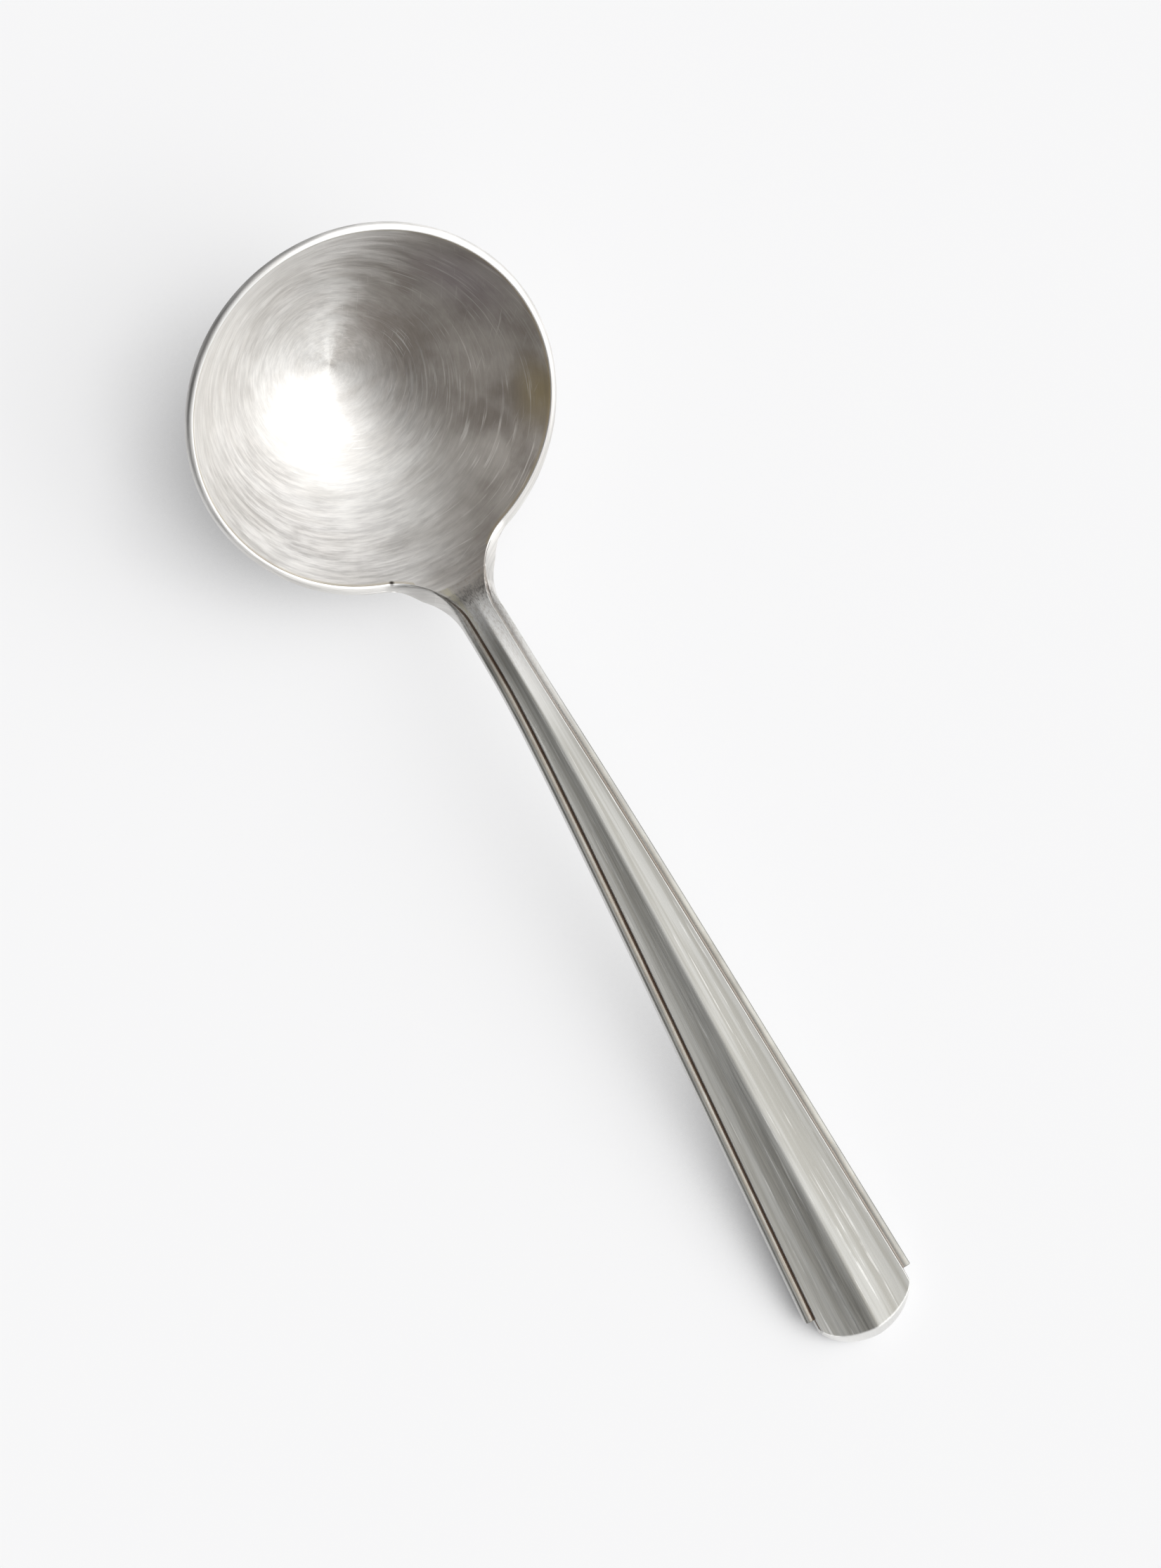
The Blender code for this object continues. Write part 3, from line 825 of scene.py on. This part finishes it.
def newMetal(name, anisotropy):
    material = bpy.data.materials.new(name)
    material.use_nodes = True
    tree = material.node_tree
    shader = tree.nodes["Principled BSDF"]
    shader.inputs["Metallic"].default_value = 1.0
    shader.inputs["Anisotropic"].default_value = anisotropy
    if anisotropy > 0:
        shader.inputs["Anisotropic Rotation"].default_value = 0.25  # gleams spread across the brushing
        tree.links.new(note(tree, "brushed").outputs["Vector"], shader.inputs["Tangent"])
    return material, tree, shader


def dress(tree, shader, tone, rough, height, strength, depth):
    bump = put(tree, "Bump", {"Strength": strength, "Distance": depth * mm, "Height": height})
    for socket, value in (("Base Color", tone), ("Roughness", rough), ("Normal", bump.outputs[0])):
        tree.links.new(value, shader.inputs[socket])


bowlFinish = {
    "silver": (0.82, 0.81, 0.79, 1),
    "dull": (0.73, 0.715, 0.69, 1),
    "bright": (0.88, 0.875, 0.86, 1),
    "olive": (0.36, 0.30, 0.19, 1),
    "plum": (0.40, 0.36, 0.38, 1),
    "brown": (0.27, 0.24, 0.215, 1),
    "amber": (0.52, 0.43, 0.28, 1),
    "speck": (0.06, 0.05, 0.045, 1),
    "roughness": 0.51,
    "anisotropy": 0.6,
    "bump": 0.22,
    "bumpDepth": 0.03,
    # scouring: centre of its circles, pace along and across them, detail and roughness of the noise
    "grain": ((0.4, -0.3), 3.0, 2.6, 3.0, 0.8),
    "cross": ((5.5, -4.0), 4.4, 4.4, 3.0, 0.6),
    "bands": ((-1.0, 0.5), 1.5, 0.42, 3.0, 0.55),
    "longLines": ((3.0, 1.5), 1.8, 4.8, 2.0, 0.6),
    "swingLines": ((-13.0, -9.0), 6.0, 5.2, 1.0, 0.55),
    "sweptLines": ((1.5, -2.5), 1.7, 3.0, 2.0, 0.55),
    # spots: place in the bowl's frame, size and softness of the edge
    "sweptSpot": ((9.0, 9.5, -14.0), 6.0, 5.0),
    "oliveSpot": ((11, 23, -2), 4.0, 4.0),
    "plumSpot": ((-7, 18, -6), 6, 6),
    "mouthSpot": ((28, 0, 1), 4.5, 4.5),
    "speckSpot": ((24.6, -8.6, -0.2), 0.35, 0.2),
    # painted shade: the way to its side and across its edge, and where it begins and is full
    "paintedShadeTo": (0.5, 0.866, 0),
    "paintedShadeAcross": (-0.42, 0.906, 0),
    "paintedShadeTurn": (-0.3, 0.52),
    "paintedShadeNear": (-7.5, 9.5),
    "paintedShadeWall": (8.0, 20.0),
    # how strongly each shows
    "lineShare": 0.36,
    "lineGloss": 0.08,
    "plumShare": 0.7,
    "amberShare": 0.6,
    "rimLineShare": 0.8,
    "rimLineGloss": 0.12,
    "rimTopGloss": 0.08,
}


def drawnRound(tree, coord, label):
    # noise that runs slowly along circles about its centre and fast across them
    centre, along, across, detail, roughness = bowlFinish[label]
    moved = vector(tree, "ADD", coord, (-centre[0], -centre[1], 0))
    flat = vector(tree, "MULTIPLY", moved, (1, 1, 0))
    radius = vector(tree, "LENGTH", flat, output="Value")
    drawn = vector(tree, "MULTIPLY", vector(tree, "NORMALIZE", flat), (along, along, 0))
    lift = put(tree, "CombineXYZ", {"Z": product(tree, radius, across)}).outputs[0]
    return noise(tree, vector(tree, "ADD", drawn, lift), 1.0, detail, roughness)


def spot(tree, coord, label):
    place, size, soft = bowlFinish[label]
    return remap(tree, vector(tree, "DISTANCE", coord, place, "Value"), size + soft, size - soft)


def toward(tree, coord, label):
    return vector(tree, "DOT_PRODUCT", coord, bowlFinish[label], "Value")


def scouredSilver(tree, coord, inside):
    # colour, roughness and height of the scoured bowl, with this share of its inside's stains and painted
    # shade
    grain = drawnRound(tree, coord, "grain")
    cross = drawnRound(tree, coord, "cross")
    bands = drawnRound(tree, coord, "bands")
    cloud = noise(tree, coord, 0.13, 4.0)
    worn = remap(tree, noise(tree, coord, 0.16, 2.0), 0.40, 0.62, 0.25, 1.0)
    longLines = remap(tree, drawnRound(tree, coord, "longLines"), 0.59, 0.70)
    swingLines = remap(tree, drawnRound(tree, coord, "swingLines"), 0.66, 0.74, 0.0, 0.5)
    lines = product(tree, maths(tree, "MAXIMUM", longLines, swingLines), worn)
    swept = remap(tree, drawnRound(tree, coord, "sweptLines"), 0.55, 0.68)
    lines = maths(tree, "MAXIMUM", lines, product(tree, swept, spot(tree, coord, "sweptSpot")))

    tone = blendColour(tree, remap(tree, bands, 0.36, 0.66), bowlFinish["silver"], bowlFinish["dull"])
    # painted shade: one side is darkened brown, from a soft edge beyond the pole round to the mouth, as the
    # dark wedge of the brushed gleam and the far wall turned from the light
    ragged = remap(tree, bands, 0.3, 0.7, -0.8, 0.8)
    far = maths(tree, "ADD", toward(tree, coord, "paintedShadeTo"), ragged)
    near = maths(tree, "ADD", toward(tree, coord, "paintedShadeAcross"), ragged)
    unit = vector(tree, "NORMALIZE", vector(tree, "MULTIPLY", coord, (1, 1, 0)))
    turn = maths(tree, "MULTIPLY_ADD", ragged, 0.12, toward(tree, unit, "paintedShadeTo"))
    wedge = remap(tree, turn, *bowlFinish["paintedShadeTurn"])
    wedge = product(tree, wedge, remap(tree, near, *bowlFinish["paintedShadeNear"]))
    wall = remap(tree, far, *bowlFinish["paintedShadeWall"], 0.0, 0.9)
    dim = product(tree, maths(tree, "MAXIMUM", wedge, wall), remap(tree, cloud, 0.3, 0.7, 0.7, 0.95))
    olive = product(tree, spot(tree, coord, "oliveSpot"), remap(tree, cloud, 0.3, 0.6, 0.4, 0.9))
    plum = product(tree, spot(tree, coord, "plumSpot"), bowlFinish["plumShare"])
    mouth = product(tree, spot(tree, coord, "mouthSpot"), remap(tree, cloud, 0.3, 0.7, 0.1, 0.45))
    for share, colour in ((dim, "brown"), (olive, "olive"), (plum, "plum"), (mouth, "brown")):
        tone = blendColour(tree, product(tree, share, inside), tone, bowlFinish[colour])
    tone = scaled(tree, tone, remap(tree, grain, 0.3, 0.7, 0.9, 1.09))
    tone = blendColour(tree, product(tree, lines, bowlFinish["lineShare"]), tone, bowlFinish["bright"])

    rough = maths(tree, "ADD", remap(tree, grain, 0.3, 0.7, -0.05, 0.05), bowlFinish["roughness"])
    rough = maths(tree, "ADD", rough, remap(tree, cloud, 0.3, 0.7, -0.03, 0.05))
    rough = maths(tree, "MULTIPLY_ADD", lines, -bowlFinish["lineGloss"], rough)
    height = maths(tree, "MULTIPLY_ADD", cross, 0.8, product(tree, grain, 0.5))
    height = maths(tree, "MULTIPLY_ADD", lines, -0.35, height)
    return tone, rough, height


def finishBowl():
    material, tree, shader = newMetal("bowlWorn", bowlFinish["anisotropy"])
    coord = note(tree, "bowlCoord").outputs["Vector"]
    labels = ("rimLine", "rimTop", "underRim", "backSide")
    rimLine, rimTop, underRim, back = (note(tree, label).outputs["Fac"] for label in labels)
    inside = maths(tree, "SUBTRACT", 1.0, maths(tree, "MAXIMUM", back, rimTop))
    tone, rough, height = scouredSilver(tree, coord, inside)
    # the back is duller, in soft clouds
    clouded = product(tree, back, remap(tree, noise(tree, coord, 0.11, 4.0), 0.35, 0.68, 0.05, 0.5))
    stained = product(tree, underRim, bowlFinish["amberShare"])
    # painted highlight with wear: the inner rim edge is lightened towards bright
    wearAndHighlight = product(tree, rimLine, bowlFinish["rimLineShare"])
    speck = spot(tree, coord, "speckSpot")
    for share, colour in ((clouded, "brown"), (stained, "amber"), (wearAndHighlight, "bright"), (speck, "speck")):
        tone = blendColour(tree, share, tone, bowlFinish[colour])
    rough = maths(tree, "MULTIPLY_ADD", rimLine, -bowlFinish["rimLineGloss"], rough)
    rough = maths(tree, "MULTIPLY_ADD", rimTop, -bowlFinish["rimTopGloss"], rough)
    dress(tree, shader, tone, rough, height, bowlFinish["bump"], bowlFinish["bumpDepth"])
    return material


handleFinish = {
    # painted shade: the handle's metal is the bowl's silver made far darker, so its flutes stay dim under the
    # strong window
    "silver": (0.33, 0.327, 0.31, 1),
    "warm": (0.262, 0.256, 0.234, 1),
    "pale": (0.45, 0.445, 0.41, 1),
    "bright": (0.88, 0.875, 0.86, 1),
    "tarnish": (0.19, 0.132, 0.098, 1),
    "grime": (0.33, 0.285, 0.23, 1),
    "cream": (0.60, 0.57, 0.45, 1),
    "roughness": 0.44,
    "anisotropy": 0.55,
    "bump": 0.35,
    "bumpDepth": 0.03,
    "drawn": (0.03, 1.0, 1.0),  # the brushing's pace along, across and down
    # lengths along the handle, from the lip
    "patchEnd": 5.0,  # how far the bowl's dull scouring runs up between the grooves
    "patchRagged": 2.2,
    "patchSides": 9.0,
    "patchSettles": 2.0,
    "wearAndHighlightFull": 3.0,  # rubbed wear and painted highlight: bright next to the bowl, further along on the lit +Y flute
    "wearAndHighlightEnds": (14.0, 33.0),
    "oldRun": (26.0, 1.0),
    "creamRun": (12.0, 3.0),
    # how strongly each shows
    "sideReflectionShare": 0.8,
    "wearAndHighlightShare": 0.92,
    "lineShare": 0.2,
    "edgeWearAndHighlightShare": 0.45,
    "pitShare": 0.6,
}


def finishHandle():
    material, tree, shader = newMetal("handleWorn", handleFinish["anisotropy"])
    strip = note(tree, "strip").outputs["Vector"]
    axes = put(tree, "SeparateXYZ", {0: strip})
    past, across = maths(tree, "SUBTRACT", axes.outputs["X"], lipAt), axes.outputs["Y"]
    drawn = vector(tree, "MULTIPLY", strip, handleFinish["drawn"])
    fine = noise(tree, drawn, 3.6, 4.0, 0.6)
    streaks = noise(tree, drawn, 0.9, 2.0)
    cloud = noise(tree, strip, 0.16, 4.0)
    mottle = noise(tree, strip, 1.6, 4.0, 0.7)
    lines = product(tree, remap(tree, noise(tree, drawn, 2.2, 1.0), 0.63, 0.68), remap(tree, cloud, 0.4, 0.6))
    labels = ("groove", "besideGroove", "panelEdge", "shoulder", "under", "endFace")
    shares = [note(tree, label).outputs["Fac"] for label in labels]
    groove, beside, panelEdge, shoulder, under, endFace = shares
    onTop = maths(tree, "SUBTRACT", 1.0, under)

    tone = blendColour(tree, remap(tree, streaks, 0.36, 0.64), handleFinish["silver"], handleFinish["warm"])
    paler = product(tree, shoulder, remap(tree, cloud, 0.35, 0.65, 0.5, 0.0))
    tone = blendColour(tree, paler, tone, handleFinish["pale"])
    # painted reflection: the sides and underside are lightened towards bright, as if mirroring the white
    # floor
    tone = blendColour(tree, product(tree, under, handleFinish["sideReflectionShare"]), tone, handleFinish["bright"])
    # painted highlight with wear: near the bowl the top is lightened, reaching further along the +Y flute
    # that faces the window
    wearAndHighlightEnd = remap(tree, across, -1.0, 1.0, *handleFinish["wearAndHighlightEnds"])
    wearAndHighlight = remap(tree, past, wearAndHighlightEnd, handleFinish["wearAndHighlightFull"], 0.0, handleFinish["wearAndHighlightShare"])
    tone = blendColour(tree, wearAndHighlight, tone, handleFinish["bright"])
    tone = scaled(tree, tone, remap(tree, fine, 0.3, 0.7, 0.88, 1.1))
    tone = blendColour(tree, product(tree, lines, handleFinish["lineShare"]), tone, handleFinish["bright"])
    rough = maths(tree, "ADD", remap(tree, fine, 0.3, 0.7, -0.06, 0.07), handleFinish["roughness"])
    rough = maths(tree, "MULTIPLY_ADD", wearAndHighlight, 0.12, rough)
    height = maths(tree, "MULTIPLY_ADD", lines, -0.3, fine)

    # the bowl's dull scouring starts the panel with a ragged end, and fades out along the sides
    bowlCoord = note(tree, "bowlCoord").outputs["Vector"]
    bowlTone, bowlRough, bowlHeight = scouredSilver(tree, bowlCoord, onTop)
    ragged = handleFinish["patchRagged"]
    reach = maths(tree, "ADD", past, remap(tree, mottle, 0.25, 0.75, -ragged, ragged))
    patch = remap(tree, reach, handleFinish["patchEnd"], 0.4 * handleFinish["patchEnd"])
    patch = blendValue(tree, under, patch, remap(tree, past, handleFinish["patchSides"], 0.0))
    settled = product(tree, remap(tree, past, 0.0, handleFinish["patchSettles"]), onTop)
    uneven = blendValue(tree, settled, 1.0, remap(tree, mottle, 0.35, 0.65, 0.75, 1.3))
    tone = blendColour(tree, patch, tone, scaled(tree, bowlTone, uneven))
    bowlRough = maths(tree, "MULTIPLY_ADD", under, -bowlFinish["rimTopGloss"], bowlRough)
    rough = blendValue(tree, patch, rough, bowlRough)
    height = blendValue(tree, patch, height, bowlHeight)

    # brown mottling about the neck, and a cream streak on its -Y side
    old = remap(tree, past, *handleFinish["oldRun"])
    old = product(tree, old, remap(tree, mottle, 0.42, 0.68, 0.0, 0.45), onTop)
    tone = blendColour(tree, old, tone, handleFinish["grime"])
    streak = product(tree, remap(tree, across, -3.2, -4.4), remap(tree, across, -6.6, -5.2))
    streak = product(tree, streak, remap(tree, past, *handleFinish["creamRun"]))
    streak = product(tree, streak, remap(tree, mottle, 0.35, 0.6, 0.2, 0.9))
    tone = blendColour(tree, streak, tone, handleFinish["cream"])
    # painted highlight with wear: the panel's edges are lightened along the arris
    worn = product(tree, panelEdge, handleFinish["edgeWearAndHighlightShare"])
    tone = blendColour(tree, worn, tone, handleFinish["bright"])
    rough = maths(tree, "MULTIPLY_ADD", panelEdge, -0.04, rough)

    # dirt in the grooves and beside them; less on the +Y side, so the -Y side is darker as painted shade
    keep = remap(tree, across, -2.0, 2.0, 1.0, 0.4)
    spread = remap(tree, maths(tree, "ADD", fine, mottle), 0.75, 1.2, 0.1, 0.7)
    tone = blendColour(tree, product(tree, beside, spread, keep), tone, handleFinish["grime"])
    dirtAndShade = product(tree, groove, keep, remap(tree, cloud, 0.3, 0.6, 0.75, 1.0))
    tone = blendColour(tree, dirtAndShade, tone, handleFinish["tarnish"])
    rough = maths(tree, "MULTIPLY_ADD", dirtAndShade, 0.2, rough)

    # ground end of the tip, lightened as a painted highlight, and pits on the shoulders
    tone = blendColour(tree, endFace, tone, handleFinish["bright"])
    rough = maths(tree, "MULTIPLY_ADD", endFace, 0.16, rough)
    pits = remap(tree, noise(tree, strip, 2.6, 1.0), 0.70, 0.76)
    pits = product(tree, pits, shoulder, handleFinish["pitShare"])
    tone = blendColour(tree, pits, tone, handleFinish["grime"])
    dress(tree, shader, tone, rough, height, handleFinish["bump"], handleFinish["bumpDepth"])
    return material


seamFinish = {
    "dull": (0.36, 0.30, 0.21, 1),
    "pale": (0.52, 0.46, 0.36, 1),
    "roughness": (0.42, 0.62),
    "bump": 0.4,
    "bumpDepth": 0.05,
}


def finishSeam():
    material, tree, shader = newMetal("brazeDull", 0.0)
    grain = noise(tree, note(tree, "seamCoord").outputs["Vector"], 1.8, 4.0)
    tone = blendColour(tree, remap(tree, grain, 0.35, 0.65), seamFinish["dull"], seamFinish["pale"])
    rough = remap(tree, grain, 0.3, 0.7, *seamFinish["roughness"])
    dress(tree, shader, tone, rough, grain, seamFinish["bump"], seamFinish["bumpDepth"])
    return material


bowlPiece.data.materials.append(finishBowl())
handlePiece.data.materials.append(finishHandle())
seamPiece.data.materials.append(finishSeam())
print("finishes done")


stage = {
    "floor": (0.93, 0.93, 0.935, 1),
    "floorSize": 3.0,  # metres
    "floorLow": 0.03 * mm,
    "floorRoughness": 0.9,
    "floorGlow": 0.7,  # share of the floor's colour that only the close shadow dims, as seen and mirrored
    "shadowReach": 30 * mm,
    "shadowDepth": 0.15,
    "shadowEdge": (0.2, 0.76),
    "shadowFrom": (radians(55), radians(66)),  # from straight up, and round from +X
    "window": (radians(39), radians(78)),
    "windowLevel": 3.0,
    "windowWidth": 4.2,
    "sill": (radians(72), radians(18)),  # paler low part of the room, beyond the tip
    "sillLevel": 0.8,
    "sillWidth": 3.0,
    "roomLevel": 0.07,
    "lamp": (radians(62), radians(46)),
    "lampLevel": 0.4,
    "lampSpread": radians(34),
}


def skyward(place):
    tilt, turn = place
    return Vector((sin(tilt) * cos(turn), sin(tilt) * sin(turn), cos(tilt)))


def makeFloor():
    mesh = bpy.data.meshes.new("floor")
    half, low = stage["floorSize"] / 2, -stage["floorLow"]
    corners = [(x * half, y * half, low) for x, y in ((-1, -1), (1, -1), (1, 1), (-1, 1))]
    mesh.from_pydata(corners, [], [(0, 1, 2, 3)])
    floor = bpy.data.objects.new("floor", mesh)
    bpy.context.scene.collection.objects.link(floor)
    material = bpy.data.materials.new("paleTable")
    material.use_nodes = True
    tree = material.node_tree
    shader = tree.nodes["Principled BSDF"]
    shader.inputs["Base Color"].default_value = stage["floor"]
    shader.inputs["Roughness"].default_value = stage["floorRoughness"]
    shader.inputs["Specular IOR Level"].default_value = 0.0
    path = put(tree, "LightPath")
    seen = maths(tree, "MAXIMUM", path.outputs["Is Camera Ray"], path.outputs["Is Glossy Ray"])
    seen = maths(tree, "MAXIMUM", seen, path.outputs["Is Transmission Ray"])
    # painted shadow: the floor's glow is dimmed by occlusion towards the window, close to the ladle
    lit = put(tree, "CombineXYZ", dict(zip("XYZ", skyward(stage["shadowFrom"])))).outputs[0]
    close = put(tree, "AmbientOcclusion", {"Distance": stage["shadowReach"], "Normal": lit}, samples=12)
    shade = remap(tree, close.outputs["AO"], *stage["shadowEdge"], stage["shadowDepth"], 1.0)
    glow = put(tree, "Emission", {"Color": stage["floor"], "Strength": shade})
    share = product(tree, seen, stage["floorGlow"])
    both = put(tree, "MixShader", {0: share, 1: shader.outputs[0], 2: glow.outputs[0]})
    tree.links.new(both.outputs[0], tree.nodes["Material Output"].inputs["Surface"])
    mesh.materials.append(material)


def makeLight():
    lamp = bpy.data.lights.new("sideLamp", "SUN")
    lamp.energy = stage["lampLevel"]
    lamp.angle = stage["lampSpread"]
    side = bpy.data.objects.new("sideLamp", lamp)
    side.rotation_euler = skyward(stage["lamp"]).to_track_quat("Z", "Y").to_euler()
    bpy.context.scene.collection.objects.link(side)

    # a wide soft window on one side of a dim room
    world = bpy.data.worlds.new("studio")
    bpy.context.scene.world = world
    world.use_nodes = True
    tree = world.node_tree
    direction = put(tree, "TexCoord").outputs["Generated"]
    level = stage["roomLevel"]
    for part in ("window", "sill"):
        facing = vector(tree, "DOT_PRODUCT", direction, skyward(stage[part]), "Value")
        facing = maths(tree, "MAXIMUM", facing, 0.0)
        glow = maths(tree, "POWER", facing, stage[part + "Width"])
        level = maths(tree, "MULTIPLY_ADD", glow, stage[part + "Level"], level)
    tree.links.new(level, tree.nodes["Background"].inputs["Strength"])
    tree.nodes["Background"].inputs["Color"].default_value = (1, 1, 1, 1)


view = {
    "from": (0.0021, -0.116, 1),  # almost straight above
    "aim": (59.054, 1.9, 0),
    "heading": radians(60.51),  # the picture's right hand, round from +X
    "distance": 750,
    "sensor": 36,
    "lens": 119.957,
    "nearest": 10,
}


def makeCamera():
    toCamera = Vector(view["from"]).normalized()
    right = Vector((cos(view["heading"]), sin(view["heading"]), 0))
    right = (right - right.dot(toCamera) * toCamera).normalized()
    up = toCamera.cross(right)
    place = (Vector(view["aim"]) + toCamera * view["distance"]) * mm
    lens = bpy.data.cameras.new("camera")
    lens.sensor_fit = "VERTICAL"
    lens.sensor_height = view["sensor"]
    lens.lens = view["lens"]
    lens.clip_start = view["nearest"] * mm
    camera = bpy.data.objects.new("camera", lens)
    camera.matrix_world = Matrix((
        (right.x, up.x, toCamera.x, place.x),
        (right.y, up.y, toCamera.y, place.y),
        (right.z, up.z, toCamera.z, place.z),
        (0, 0, 0, 1),
    ))
    bpy.context.scene.collection.objects.link(camera)
    bpy.context.scene.camera = camera


makeFloor()
makeLight()
makeCamera()
bpy.context.scene.view_settings.view_transform = "Standard"
print("stage done")

bpy.context.view_layer.update()
